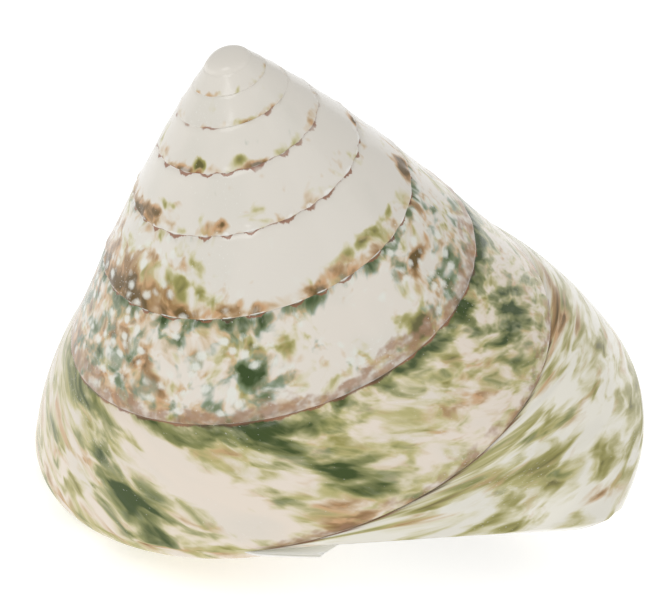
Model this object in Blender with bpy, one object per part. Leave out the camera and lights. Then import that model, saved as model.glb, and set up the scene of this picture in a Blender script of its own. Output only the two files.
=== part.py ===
"""Top shell, resting on its base with the aperture down.

The shell is one hollow piece. Its outer skin is a spiral strip, the flank, whose lower edge in
one turn is the suture where the next turn starts, closed below by the base of the last turn.
The living chamber is a tube that winds up inside the last two turns and opens at the aperture.
Everything is worked out in the shell's own frame first, with the apex at the origin and the
coiling axis along Z, and then leaned over into the pose in which the shell lies still.
"""

import math

import bmesh
import bpy
import numpy as np
from mathutils import Matrix, Vector

MM = 0.001

# The spiral of the suture. Turns are counted along the growth, and the lip is at LIP_TURN.
FIRST_TURN = -1.53
LIP_TURN = 6.07
TURN_OF_SIZES = 6.0
SUTURE_RADIUS = 24.0 * MM
SUTURE_DEPTH = 35.25 * MM
GROWTH = 0.2405
GROWTH_SLOWING = 0.0160
STEEPENING = 1.213
STEEPENING_WITH_SIZE = 0.032
APEX_KNOB_HEIGHT = 0.35 * MM

# The flank of a turn, from its own suture down to the next one. Shares count from 0 at its own
# suture to 1 at the next.
STRAIGHT_SHARE = 0.92
FLANK_BULGE = -0.01
FLANK_BULGE_OF_LAST_TURN = 0.045
SWELLING_AT_LIP = 0.03
SWELLING_TURNS = 0.45
LAST_TURN_STARTS = 4.8
EDGE_ROUNDING = 0.037
SUTURE_ANGLE = math.radians(-15.0)
LAG_OF_GROWTH_LINE = 0.2
LAG_SHAPE = 0.48
SUTURE_GROOVE = 0.25 * MM

# The base and the pit at its middle. Shares count from 0 at the suture to 1 at the middle.
EDGE_SHARE = 0.2
PIT_RIM_SHARE = 0.72
BASE_CONVEXITY = 0.035
BASE_ANGLE = math.radians(84.0)
PIT_RADIUS = 0.19
PIT_DEPTH = 37.6 * MM
BASE_LAG = 0.03

# The wall, and the chamber inside it
WALL = 1.7 * MM
WALL_AT_LIP = 1.0 * MM
LIP_TAPER_TURNS = 0.25
LIP_ROUNDING = ((0.3, 0.25), (0.7, 0.25))
PLUG_HOLLOW = 0.17
GLAZE = 0.3 * MM
PILLAR_RADIUS = 0.235
PILLAR_RADIUS_AT_TOP = 0.15
CHAMBER_FIRST_TURN = 4.35
CHAMBER_LAST_TURN = 6.32

# How finely the faces are cut
COLUMNS_PER_TURN = 60
FLANK_SHARES = (0.0, 0.09, 0.3, 0.52, 0.74, 0.92, 1.0)
EDGE_ROWS = 3
BASE_ROWS = 6
PIT_ROWS = 3
CHAMBER_COLUMNS_PER_TURN = 36

# The pose at rest: the apex leans by LEAN towards LEAN_HEADING, seen from above, and the
# whole shell is then turned by HEADING so that its front looks along -Y
LEAN = math.radians(13.8)
LEAN_HEADING = math.radians(262.5)
HEADING = math.radians(-74.9)

SHELL_COLOUR = (0.72, 0.70, 0.60, 1.0)
SHELL_ROUGHNESS = 0.25


def clear_scene():
    for old in list(bpy.data.objects):
        bpy.data.objects.remove(old)


def smooth(x):
    """0 below 0, 1 above 1, and an even slope between."""
    x = np.clip(x, 0.0, 1.0)
    return x * x * (3 - 2 * x)


def suture_radius(turn):
    m = turn - TURN_OF_SIZES
    return SUTURE_RADIUS * np.exp(GROWTH * m - GROWTH_SLOWING * m * m)


def suture_depth(turn):
    share = suture_radius(turn) / SUTURE_RADIUS
    return SUTURE_DEPTH * share ** (STEEPENING + STEEPENING_WITH_SIZE * np.log(share))


def on_axis_frame(turn, radius, depth):
    """A point from its turn, its distance from the axis and its depth below the apex."""
    angle = -2 * math.pi * turn
    return np.stack([radius * np.cos(angle), radius * np.sin(angle), -depth], -1)


def swelling(turn):
    """How much wider the last part of the last turn is than the plain spiral."""
    reached = turn - LIP_TURN + LAG_OF_GROWTH_LINE + SWELLING_TURNS
    return 1 + SWELLING_AT_LIP * smooth(reached / SWELLING_TURNS)


def turn_section(turn):
    """The start, the next suture, the flank's direction and its outward normal, in (radius, depth)."""
    start = np.stack([suture_radius(turn), suture_depth(turn)], -1)
    end = np.stack([suture_radius(turn + 1) * swelling(turn), suture_depth(turn + 1)], -1)
    along = end - start
    length = np.linalg.norm(along, axis=-1, keepdims=True)
    along = along / length
    outward = np.stack([along[..., 1], -along[..., 0]], -1)
    return start, end, along, outward, length


def edge_arc(turn, angle):
    """A point on the rounded edge between flank and base, where the surface faces this far below level."""
    _, end, _, _, _ = turn_section(turn)
    size = EDGE_ROUNDING * suture_radius(turn + 1)
    facing = np.stack([np.cos(angle), np.sin(angle)], -1)
    at_suture = np.stack([np.cos(SUTURE_ANGLE), np.sin(SUTURE_ANGLE)], -1)
    return end + (facing - at_suture) * size[..., None]


def flank_angle(turn):
    _, _, _, outward, _ = turn_section(turn)
    return np.arctan2(outward[..., 1], outward[..., 0])


def flank_point(turn, share):
    """A point in (radius, depth) on the flank: share 0 is its own suture and 1 is the next one."""
    start, _, _, outward, length = turn_section(turn)
    facing = flank_angle(turn)
    shoulder = edge_arc(turn, facing)
    t = np.clip(share / STRAIGHT_SHARE, 0, 1)[..., None]
    late = smooth((turn - LAST_TURN_STARTS) / SWELLING_TURNS)[..., None]
    bulge = FLANK_BULGE + (FLANK_BULGE_OF_LAST_TURN - FLANK_BULGE) * late
    straight = start + (shoulder - start) * t + outward * length * bulge * 4 * t * (1 - t)
    turned = np.clip((share - STRAIGHT_SHARE) / (1 - STRAIGHT_SHARE), 0, 1)
    rounded = edge_arc(turn, facing + (SUTURE_ANGLE - facing) * turned)
    return np.where(share[..., None] <= STRAIGHT_SHARE, straight, rounded)


def base_point(turn, share):
    """A point in (radius, depth) on the base: share 0 is the suture line, 1 the middle of the pit."""
    angle = SUTURE_ANGLE + (BASE_ANGLE - SUTURE_ANGLE) * np.clip(share / EDGE_SHARE, 0, 1)
    edge = edge_arc(turn, angle)
    foot = edge_arc(turn, np.full_like(turn, BASE_ANGLE))
    size = suture_radius(turn + 1)
    rim_radius = PIT_RADIUS * size
    x = np.clip((share - EDGE_SHARE) / (PIT_RIM_SHARE - EDGE_SHARE), 0, 1)
    flat_radius = foot[..., 0] + (rim_radius - foot[..., 0]) * x
    flat_depth = foot[..., 1] + BASE_CONVEXITY * size * (1 - (1 - x) ** 2)
    flat = np.stack([flat_radius, flat_depth], -1)
    rim_depth = foot[..., 1] + BASE_CONVEXITY * size
    y = np.clip((share - PIT_RIM_SHARE) / (1 - PIT_RIM_SHARE), 0, 1)
    pit = np.stack([rim_radius * (1 - y), rim_depth + (PIT_DEPTH - rim_depth) * smooth(y)], -1)
    found = np.where(share[..., None] <= EDGE_SHARE, edge, flat)
    return np.where(share[..., None] > PIT_RIM_SHARE, pit, found)


def lag(share, growth=LIP_TURN):
    """How many turns a growth line has fallen behind at a share of the skin."""
    flank = np.clip(share, 0, 1)
    at_lip = flank**LAG_SHAPE
    earlier = 1.45 * flank - 0.45 * flank**2
    behind = earlier + (at_lip - earlier) * smooth((growth - LIP_TURN + 0.5) / 0.45)
    base = np.clip(share - 1, 0, 1)
    return LAG_OF_GROWTH_LINE * behind + BASE_LAG * np.sin(math.pi * base)


def skin(growth, share):
    """A point on the outer skin, on the growth line that left the suture at that turn."""
    turn = growth - lag(share, growth)
    point = np.where(
        share[..., None] <= 1.0,
        flank_point(turn, np.clip(share, 0, 1)),
        base_point(turn, np.clip(share - 1, 0, 1)),
    )
    return on_axis_frame(turn, point[..., 0], point[..., 1])


def growth_grid():
    """Growth lines as columns. They end at the lip, and a whole number of them makes a turn."""
    count = round((LIP_TURN - FIRST_TURN) * COLUMNS_PER_TURN)
    return LIP_TURN - np.arange(count, -1, -1) / COLUMNS_PER_TURN


def add_faces(mesh, columns):
    """Quads between neighbouring columns, leaving out those that have shrunk to nothing."""
    for left, right in zip(columns, columns[1:]):
        for k in range(len(left) - 1):
            corners = [left[k], left[k + 1], right[k + 1], right[k]]
            corners = list(dict.fromkeys(corners))
            if len(corners) > 2:
                mesh.faces.new(corners)


def groove(turn):
    """How far the skin is drawn in at the suture, less on the smallest turns."""
    return SUTURE_GROOVE * np.clip(suture_radius(turn) / suture_radius(3.0), 0.0, 1.0)


def with_grooves(grid, growth):
    """The flank with both its edges drawn in a little, where the sutures run."""
    spread = np.stack([grid[..., 0], grid[..., 1], 0 * grid[..., 2]], -1)
    spread = spread / (np.linalg.norm(spread, axis=-1, keepdims=True) + 1e-9)
    shift = np.zeros(grid.shape[:2])
    shift[:, 0] = -groove(growth)
    reached = growth + 1 - LAG_OF_GROWTH_LINE
    shift[:, -1] = -groove(reached) * smooth((LIP_TURN - reached) / 0.1)
    return grid + spread * shift[..., None]


def base_shares(pit_rows):
    """The base's rows as shares of the skin, which go on from 1 at the suture."""
    return np.concatenate([
        1 + EDGE_SHARE * np.arange(1, EDGE_ROWS + 1) / EDGE_ROWS,
        1 + EDGE_SHARE + (PIT_RIM_SHARE - EDGE_SHARE) * np.arange(1, BASE_ROWS + 1) / BASE_ROWS,
        1 + PIT_RIM_SHARE + (1 - PIT_RIM_SHARE) * np.arange(1, pit_rows + 1) / PIT_ROWS,
    ])


def envelope():
    """The outer form with the aperture still closed: flank strip, base, lip and a plug."""
    mesh = bmesh.new()
    growth = growth_grid()
    flank_shares = np.array(FLANK_SHARES)
    columns_behind = round((1 - LAG_OF_GROWTH_LINE) * COLUMNS_PER_TURN)
    grid = skin(growth[:, None] + 0 * flank_shares, flank_shares + 0 * growth[:, None])
    grid = with_grooves(grid, growth)
    flank = []
    for i, points in enumerate(grid):
        shared = flank[i - columns_behind][-1] if i >= columns_behind else None
        column = [mesh.verts.new(Vector(p)) for p in points[1:]]
        first = shared or mesh.verts.new(Vector(points[0]))
        flank.append([first] + column)
    add_faces(mesh, flank)
    tip = mesh.verts.new(Vector((0, 0, APEX_KNOB_HEIGHT - suture_depth(FIRST_TURN))))
    start_line = [column[0] for column in flank[: columns_behind + 1]]
    start_line += [flank[0][k] for k in range(len(FLANK_SHARES) - 2, 0, -1)]
    for a, b in zip(start_line, start_line[1:] + start_line[:1]):
        mesh.faces.new([a, b, tip])

    shares = base_shares(PIT_ROWS - 1)
    open_growth = growth[-columns_behind - 1 :]
    grid = skin(open_growth[:, None] + 0 * shares, shares + 0 * open_growth[:, None])
    middle = mesh.verts.new(Vector((0, 0, -PIT_DEPTH)))
    base = []
    for column, points in zip(flank[-columns_behind - 1 :], grid):
        base.append([column[-1]] + [mesh.verts.new(Vector(p)) for p in points] + [middle])
    add_faces(mesh, base)

    lip = flank[-1] + base[-1][1:]
    parietal = base[0]
    close_aperture(mesh, lip, parietal)
    bmesh.ops.recalc_face_normals(mesh, faces=mesh.faces)
    return mesh


def close_aperture(mesh, lip, parietal):
    """The lip's rounded end, and a plug from there to the last turn's base, which the chamber cuts away."""
    shares = np.concatenate([np.array(FLANK_SHARES), base_shares(PIT_ROWS)])
    step = 1e-3
    at_lip = np.full_like(shares, LIP_TURN)
    here = skin(at_lip, shares)
    back = skin(at_lip - step, shares)
    below = skin(at_lip, np.clip(shares + step, 0, 1.999))
    above = skin(at_lip, np.clip(shares - step, 0, 1.998))
    forward = here - back
    forward /= np.linalg.norm(forward, axis=-1, keepdims=True) + 1e-12
    inward = np.cross(below - above, forward)
    inward /= np.linalg.norm(inward, axis=-1, keepdims=True) + 1e-12
    fading = (smooth((shares - 0.15) / 0.4) * smooth((1.66 - shares) / 0.2))[:, None]
    ring = list(lip)
    for depth, ahead in LIP_ROUNDING:
        offset = (inward * depth + forward * ahead) * WALL_AT_LIP * fading
        points = here + offset
        new = []
        for vert, point, keep in zip(lip, points, fading[:, 0]):
            new.append(mesh.verts.new(Vector(point)) if keep > 0.05 else vert)
        add_faces(mesh, [ring, new])
        ring = new
    corner = len(FLANK_SHARES) - 1
    here_radius = np.array([math.hypot(v.co.x, v.co.y) for v in ring])
    there_radius = np.array([math.hypot(v.co.x, v.co.y) for v in parietal])
    rows = [ring[corner:]]
    for j in range(1, corner):
        t = j / corner
        row = [ring[corner - j]]
        for k in range(1, len(parietal) - 1):
            turn = LIP_TURN - lag(shares[corner + k]) + LAG_OF_GROWTH_LINE * t
            radius = here_radius[corner + k] * (1 - t) + there_radius[k] * t
            radius -= 4 * t * (1 - t) * PLUG_HOLLOW * max(radius - 0.35 * SUTURE_RADIUS, 0.0)
            rise = (parietal[k].co.z - ring[corner + k].co.z) * t
            point = on_axis_frame(turn, radius, -ring[corner + k].co.z - rise)
            row.append(mesh.verts.new(Vector(point)))
        rows.append(row + [parietal[-1]])
    rows.append(parietal)
    add_faces(mesh, rows)


def rounded(corners, times):
    """A closed outline with its corners cut, and cut again."""
    for _ in range(times):
        following = np.roll(corners, -1, axis=0)
        corners = np.stack([0.75 * corners + 0.25 * following, 0.25 * corners + 0.75 * following], 1)
        corners = corners.reshape(-1, 2)
    return corners


def chamber_outline(turn):
    """The chamber's section in (radius, depth) at one turn."""
    one = np.array([turn])
    size = suture_radius(turn + 1)
    _, _, _, outward, _ = (x[0] for x in turn_section(one))
    thin = float(smooth((turn - LIP_TURN + LAG_OF_GROWTH_LINE + LIP_TAPER_TURNS) / LIP_TAPER_TURNS))
    wall = min(WALL + (WALL_AT_LIP - WALL) * thin, 0.065 * size)
    upper, middle, lower = (flank_point(one, np.array([s]))[0] - outward * wall for s in (0.24, 0.5, 0.74))
    corner_facing = np.array([math.cos(0.9), math.sin(0.9)])
    corner = edge_arc(one, np.array([0.9]))[0] - corner_facing * wall * 1.1
    floor = [base_point(one, np.array([s]))[0] - np.array([0, wall]) for s in (0.36, 0.6)]
    ceiling = [base_point(one - 1, np.array([s]))[0] + np.array([0, GLAZE]) for s in (0.24, 0.5)]
    pillar = PILLAR_RADIUS * size
    corners = [
        upper,
        middle,
        lower,
        corner,
        floor[0],
        np.array([pillar, floor[1][1]]),
        np.array([PILLAR_RADIUS_AT_TOP * size, ceiling[1][1]]),
        ceiling[0],
    ]
    return rounded(np.array(corners), 1)


def chamber():
    """The tube of free space that winds up inside the last turns."""
    mesh = bmesh.new()
    count = round((CHAMBER_LAST_TURN - CHAMBER_FIRST_TURN) * CHAMBER_COLUMNS_PER_TURN)
    columns = []
    for i in range(count + 1):
        turn = CHAMBER_FIRST_TURN + i / CHAMBER_COLUMNS_PER_TURN
        outline = chamber_outline(turn)
        points = on_axis_frame(np.full(len(outline), turn), outline[:, 0], outline[:, 1])
        column = [mesh.verts.new(Vector(p)) for p in points]
        columns.append(column + column[:1])
    add_faces(mesh, columns)
    for column in (columns[0], columns[-1]):
        ring = column[:-1]
        centre = sum((v.co for v in ring), Vector()) / len(ring)
        hub = mesh.verts.new(centre)
        for a, b in zip(ring, ring[1:] + ring[:1]):
            mesh.faces.new([a, b, hub])
    bmesh.ops.recalc_face_normals(mesh, faces=mesh.faces)
    return mesh


def rest_pose():
    """The turn from the shell's own frame to the pose in which it lies still."""
    lean_axis = Vector((-math.sin(LEAN_HEADING), math.cos(LEAN_HEADING), 0))
    return Matrix.Rotation(HEADING, 4, "Z") @ Matrix.Rotation(LEAN, 4, lean_axis)


def make_object(name, mesh):
    data = bpy.data.meshes.new(name)
    mesh.to_mesh(data)
    mesh.free()
    made = bpy.data.objects.new(name, data)
    bpy.context.scene.collection.objects.link(made)
    return made


def shell_material():
    material = bpy.data.materials.new("polished_shell")
    material.use_nodes = True
    shader = material.node_tree.nodes["Principled BSDF"]
    shader.inputs["Base Color"].default_value = SHELL_COLOUR
    shader.inputs["Roughness"].default_value = SHELL_ROUGHNESS
    shader.inputs["Metallic"].default_value = 0.0
    return material


def build_shell():
    shell = make_object("shell", envelope())
    hollow = make_object("chamber_cutter", chamber())
    hollow.hide_render = True
    hollow.display_type = "WIRE"
    pose = rest_pose()
    for each in (shell, hollow):
        each.data.transform(pose)
    points = np.array([v.co for v in shell.data.vertices])
    low, high = points.min(axis=0), points.max(axis=0)
    to_floor = Matrix.Translation((-(low[0] + high[0]) / 2, -(low[1] + high[1]) / 2, -low[2]))
    for each in (shell, hollow):
        each.data.transform(to_floor)
    cut = shell.modifiers.new("chamber", "BOOLEAN")
    cut.object = hollow
    cut.operation = "DIFFERENCE"
    cut.solver = "EXACT"
    shell.data.materials.append(shell_material())
    return shell


clear_scene()
build_shell()
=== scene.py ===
"""Top shell: the visual model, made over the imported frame.

The shell's skin is grown by a node tree from the rule of its spiral. A point of the skin is known
by two numbers: growth, the turn at which its growth line left the suture, and share, how far it
lies along that growth line (0 the suture, 1 the edge, 2 the middle of the base).
"""

import math

import bmesh
import bpy
import numpy as np
from bpy.props import FloatProperty, FloatVectorProperty, IntProperty, PointerProperty
from mathutils import Euler, Matrix, Vector


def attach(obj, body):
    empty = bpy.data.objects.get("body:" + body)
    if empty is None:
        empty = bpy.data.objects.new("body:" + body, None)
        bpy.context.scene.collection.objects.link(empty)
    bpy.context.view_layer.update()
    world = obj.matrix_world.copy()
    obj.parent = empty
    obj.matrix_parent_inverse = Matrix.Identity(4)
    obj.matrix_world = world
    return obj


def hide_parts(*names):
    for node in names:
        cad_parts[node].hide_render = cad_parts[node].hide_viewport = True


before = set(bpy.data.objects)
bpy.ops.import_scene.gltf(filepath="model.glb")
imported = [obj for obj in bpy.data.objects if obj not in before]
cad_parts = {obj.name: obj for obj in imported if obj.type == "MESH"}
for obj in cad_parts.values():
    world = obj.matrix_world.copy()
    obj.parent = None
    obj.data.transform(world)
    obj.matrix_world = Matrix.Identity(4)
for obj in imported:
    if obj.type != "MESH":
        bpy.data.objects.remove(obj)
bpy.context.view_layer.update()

bl_info = {
    "name": "Top shell",
    "version": (1, 0, 0),
    "blender": (4, 5, 0),
    "location": "View3D > Sidebar > Shell",
    "description": "Grows a polished, mottled top shell by its spiral rule, and lights it",
    "category": "Add Mesh",
}

MM = 0.001

# The section of a turn: where the flank's straight part ends, how much of the base the rounded edge
# and the flat take, and the directions in which the edge's rounding starts and ends
STRAIGHT_SHARE = 0.92
EDGE_SHARE = 0.2
PIT_RIM_SHARE = 0.72
BASE_ANGLE = math.radians(84.0)
SUTURE_ANGLE = math.radians(-15.0)

# The mesh: rows down the flank and the base, columns over the aperture, and how far the flank's rows
# crowd towards the sutures
FLANK_ROWS = 25
BASE_ROWS = 41
COVER_COLUMNS = 37
CROWDING = 0.09
CHAMBER_RINGS_PER_TURN = 110
DOME_RINGS = 6

# Which way the chamber's outer corner lies from the middle of the edge's rounding
CHAMBER_CORNER_ANGLE = 0.9

# The cover over the aperture: how wide its rim is, how far the rim stands ahead of the lip in turns,
# and the share of the suture's radius inside which the cover isn't drawn in
COVER_RIM = 0.08
RIM_AHEAD = 0.0016
COVER_KEPT = 0.35

# How many turns the aperture's cover counts as, for the markings
COVER_TURNS = 0.1

# How long before the lip, in turns, the shell starts and ends to widen more than by its rule, and
# over how many turns the last turn's flank comes to bulge
SWELLING_FROM = 0.65
SWELLING_TO = 0.2
BULGE_TURNS = 0.45

# The relief beside a suture: from which turn on it is at its full size, the shares of the flank over
# which the groove fades above and below the suture, and the share that a bead takes
FULL_RELIEF_TURN = 3.0
GROOVE_ABOVE = 0.03
GROOVE_BELOW = 0.05
BEAD_SHARE = 0.2

# Length along the spiral, and down the flank, for each unit of the spiral's radius
ARC_OF_RADIUS = 2 * math.pi / 0.29
FLANK_LENGTH = 0.6

# The turns between which the markings come to follow the growth lines
SLANT_FROM = 4.6
SLANT_TO = 5.7

# The markings' grains in millimetres, along the spiral and down the flank
FINE_GRAIN = (1.5, 1.5)
BROAD_GRAIN = (4.0, 3.4)
STREAK_GRAIN = (3.2, 1.7)
TINT_GRAIN = (2.2, 2.0)
FLECK_GRAIN = (0.6, 0.75)
WORN_GRAIN = (7.0, 7.0)
DOT_GRAIN = (1.3, 1.0)
WHITE_GRAIN = 0.2

# The stage, in metres and watts
FLOOR_HALF_WIDTH = 3.0
FLOOR_COLOUR = (0.9, 0.9, 0.9, 1.0)
FLOOR_GLOW = 0.45
WORLD_STRENGTH = 0.62
LAMPS = (
    # name, place, size, power
    ("key_light", (-0.25, -0.25, 0.45), 0.25, 0.7),
    ("fill_light", (0.35, -0.15, 0.3), 0.35, 0.2),
)
LIT_POINT = Vector((0, 0, 0.02))


class Field:
    """A number in a node tree. Sums of fields make math nodes, so a rule reads as it is written."""

    def __init__(self, tree, socket):
        self.tree = tree
        self.socket = socket

    def math(self, operation, *others, clamp=False):
        node = self.tree.nodes.new("ShaderNodeMath")
        node.operation = operation
        node.use_clamp = clamp
        for slot, value in zip(node.inputs, (self, *others)):
            put(self.tree, value, slot)
        return Field(self.tree, node.outputs[0])

    def __add__(self, other):
        return self.math("ADD", other)

    def __radd__(self, other):
        return self.math("ADD", other)

    def __sub__(self, other):
        return self.math("SUBTRACT", other)

    def __rsub__(self, other):
        return (self * -1.0).math("ADD", other)

    def __mul__(self, other):
        return self.math("MULTIPLY", other)

    def __rmul__(self, other):
        return self.math("MULTIPLY", other)

    def __truediv__(self, other):
        return self.math("DIVIDE", other)

    def __pow__(self, other):
        return self.math("POWER", other)


def put(tree, value, slot):
    """Links a field or a socket to an input, or sets a plain number on it."""
    if isinstance(value, Field):
        value = value.socket
    if isinstance(value, bpy.types.NodeSocket):
        tree.links.new(value, slot)
    else:
        slot.default_value = value


def joined_xyz(tree, x, y, z):
    """A vector's socket, from three numbers or fields."""
    node = tree.nodes.new("ShaderNodeCombineXYZ")
    for value, slot in zip((x, y, z), node.inputs):
        put(tree, value, slot)
    return node.outputs[0]


def parted_xyz(tree, vector):
    """The three numbers of a vector's socket, as fields."""
    node = tree.nodes.new("ShaderNodeSeparateXYZ")
    tree.links.new(vector, node.inputs[0])
    return [Field(tree, socket) for socket in node.outputs]


def field_exp(x):
    return x.math("EXPONENT")


def field_sin(x):
    return x.math("SINE")


def field_cos(x):
    return x.math("COSINE")


def clip01(x):
    return x.math("ADD", 0.0, clamp=True)


def ramp(x, low, high):
    """An even rise from 0 at low to 1 at high, eased at both ends."""
    t = clip01((x - low) / (high - low))
    return t * t * (3.0 - 2.0 * t)


def mix(a, b, t):
    return a + (b - a) * t


def eased(x, low, high):
    """The same rise as ramp, for a plain number."""
    t = min(max((x - low) / (high - low), 0.0), 1.0)
    return t * t * (3 - 2 * t)


def lag_on_flank(share):
    """How far a growth line has fallen behind at a share of the flank, as a part of the whole lag."""
    return share * 1.45 - share * share * 0.45


def new_group(name, inputs, outputs):
    """A node group with named float inputs and outputs."""
    old = bpy.data.node_groups.get(name)
    if old:
        bpy.data.node_groups.remove(old)
    tree = bpy.data.node_groups.new(name, "GeometryNodeTree")
    for label, kind, default in inputs:
        made = tree.interface.new_socket(label, in_out="INPUT", socket_type=kind)
        if default is not None:
            made.default_value = default
    for label, kind in outputs:
        tree.interface.new_socket(label, in_out="OUTPUT", socket_type=kind)
    entry = tree.nodes.new("NodeGroupInput")
    leave = tree.nodes.new("NodeGroupOutput")
    fields = {label: Field(tree, entry.outputs[label]) for label, _, _ in inputs}
    return tree, fields, leave


def rule_group(sizes):
    """The shell's rule: from growth and share to the turn, the distance from the axis and the depth."""
    tree, given, leave = new_group(
        "shell_rule",
        [("Growth", "NodeSocketFloat", 6.0), ("Share", "NodeSocketFloat", 0.5)],
        [("Turn", "NodeSocketFloat"), ("Radius", "NodeSocketFloat"), ("Depth", "NodeSocketFloat")],
    )
    growth, share = given["Growth"], given["Share"]

    def radius_at(turn):
        m = turn - sizes.size_turn
        return field_exp(m * sizes.growth - m * m * sizes.growth_slowing) * sizes.suture_radius

    def depth_at(radius):
        ratio = radius / sizes.suture_radius
        power = ratio.math("LOGARITHM", math.e) * sizes.steepening_with_size + sizes.steepening
        return ratio**power * sizes.suture_depth

    flank = clip01(share)
    base = clip01(share - 1.0)
    at_lip = flank**sizes.lag_shape
    near_lip = ramp(growth, sizes.lip_turn - 0.5, sizes.lip_turn - 0.05)
    lag = mix(lag_on_flank(flank), at_lip, near_lip) * sizes.lag + field_sin(base * math.pi) * sizes.base_lag
    turn = growth - lag

    swollen = ramp(turn, sizes.lip_turn - SWELLING_FROM, sizes.lip_turn - SWELLING_TO)
    swelling = swollen * sizes.swelling + 1.0
    start_r = radius_at(turn)
    start_d = depth_at(start_r)
    next_r = radius_at(turn + 1.0)
    end_r = next_r * swelling
    end_d = depth_at(next_r)
    along_r = end_r - start_r
    along_d = end_d - start_d
    facing = (along_r * -1.0).math("ARCTAN2", along_d)
    round_size = next_r * sizes.edge_rounding

    def arc(angle):
        return (
            end_r + (field_cos(angle) - math.cos(SUTURE_ANGLE)) * round_size,
            end_d + (field_sin(angle) - math.sin(SUTURE_ANGLE)) * round_size,
        )

    shoulder_r, shoulder_d = arc(facing)
    t = clip01(flank / STRAIGHT_SHARE)
    late = ramp(turn, sizes.last_turn_start, sizes.last_turn_start + BULGE_TURNS)
    bulge = (late * (sizes.last_bulge - sizes.bulge) + sizes.bulge) * t * (1.0 - t) * 4.0
    turned = clip01((flank - STRAIGHT_SHARE) / (1.0 - STRAIGHT_SHARE))
    round_r, round_d = arc(mix(facing, SUTURE_ANGLE, turned))
    on_round = flank.math("GREATER_THAN", STRAIGHT_SHARE)
    flank_r = mix(mix(start_r, shoulder_r, t) + along_d * bulge, round_r, on_round)
    flank_d = mix(mix(start_d, shoulder_d, t) - along_r * bulge, round_d, on_round)

    edge_t = clip01(base / EDGE_SHARE)
    edge_r, edge_d = arc(edge_t * (BASE_ANGLE - SUTURE_ANGLE) + SUTURE_ANGLE)
    rim_r = next_r * sizes.pit_radius
    x = clip01((base - EDGE_SHARE) / (PIT_RIM_SHARE - EDGE_SHARE))
    sag = (1.0 - (1.0 - x) * (1.0 - x)) * next_r * sizes.base_convexity
    flat_r = mix(edge_r, rim_r, x)
    flat_d = edge_d + sag
    y = clip01((base - PIT_RIM_SHARE) / (1.0 - PIT_RIM_SHARE))
    base_r = flat_r * (1.0 - y)
    base_d = mix(flat_d, sizes.pit_depth, ramp(y, 0.0, 1.0))
    on_base = share.math("GREATER_THAN", 1.0)
    radius = mix(flank_r, base_r, on_base)
    depth = mix(flank_d, base_d, on_base)

    # The suture is drawn in, and low beads stand beside it on the spire. The relief is the same on
    # both sides of a suture, so the turns meet.
    full_radius = Spiral(sizes).radius(FULL_RELIEF_TURN)

    def groove_at(turn_there):
        small = clip01(radius_at(turn_there) / full_radius)
        attached = 1.0 - ramp(turn_there, sizes.lip_turn - 0.1, sizes.lip_turn)
        return small * attached * sizes.groove

    def bead_at(turn_there, x):
        size = radius_at(turn_there)
        fading = clip01(size / full_radius) * (1.0 - ramp(turn_there, 4.4, 5.4) * 0.8)
        hump = field_sin(clip01(x) * math.pi)
        return beat_of(size / MM, sizes) * hump * hump * fading * sizes.bead_height

    lower = turn + 1.0
    to_lower = (share - 1.0) / GROOVE_ABOVE
    to_upper = share / GROOVE_BELOW
    above = bead_at(lower, (share - (1.0 - BEAD_SHARE)) / BEAD_SHARE)
    relief = above + bead_at(turn, share / BEAD_SHARE) * 0.4
    relief = relief - field_exp(to_lower * to_lower * -1.0) * groove_at(lower)
    relief = relief - field_exp(to_upper * to_upper * -1.0) * groove_at(turn)
    radius = (radius + relief).math("MAXIMUM", 0.0)

    put(tree, turn, leave.inputs["Turn"])
    put(tree, radius, leave.inputs["Radius"])
    put(tree, depth, leave.inputs["Depth"])
    return tree


def grid_field(tree, columns, rows):
    """A grid of the given size, and the position across and down it from 0 to 1."""
    grid = tree.nodes.new("GeometryNodeMeshGrid")
    grid.inputs["Size X"].default_value = 1.0
    grid.inputs["Size Y"].default_value = 1.0
    grid.inputs["Vertices X"].default_value = columns
    grid.inputs["Vertices Y"].default_value = rows
    position = tree.nodes.new("GeometryNodeInputPosition")
    across, down, _ = parted_xyz(tree, position.outputs[0])
    return grid.outputs["Mesh"], across + 0.5, down + 0.5


def crowded(down):
    """Rows that stand closer near the two sutures."""
    return down - field_sin(down * (2 * math.pi)) * CROWDING


def call_rule(tree, rule, growth, share):
    """The rule's turn, radius and depth at a growth and a share."""
    node = tree.nodes.new("GeometryNodeGroup")
    node.node_tree = rule
    put(tree, growth, node.inputs["Growth"])
    put(tree, share, node.inputs["Share"])
    return [Field(tree, node.outputs[name]) for name in ("Turn", "Radius", "Depth")]


def moved_to(tree, mesh, turn, radius, depth):
    """The grid with each point put at its turn, radius and depth, apex at the origin and axis along Z."""
    angle = turn * (-2 * math.pi)
    place = joined_xyz(tree, radius * field_cos(angle), radius * field_sin(angle), depth * -1.0)
    move = tree.nodes.new("GeometryNodeSetPosition")
    tree.links.new(mesh, move.inputs["Geometry"])
    tree.links.new(place, move.inputs["Position"])
    return move.outputs["Geometry"]


def with_uv(tree, mesh, growth, share):
    """Growth and share are kept on the face corners, so both sides of a suture have their own."""
    keep = tree.nodes.new("GeometryNodeStoreNamedAttribute")
    keep.data_type = "FLOAT2"
    keep.domain = "CORNER"
    keep.inputs["Name"].default_value = "growth_and_share"
    tree.links.new(mesh, keep.inputs["Geometry"])
    tree.links.new(joined_xyz(tree, growth, share, 0.0), keep.inputs["Value"])
    return keep.outputs["Geometry"]


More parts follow.
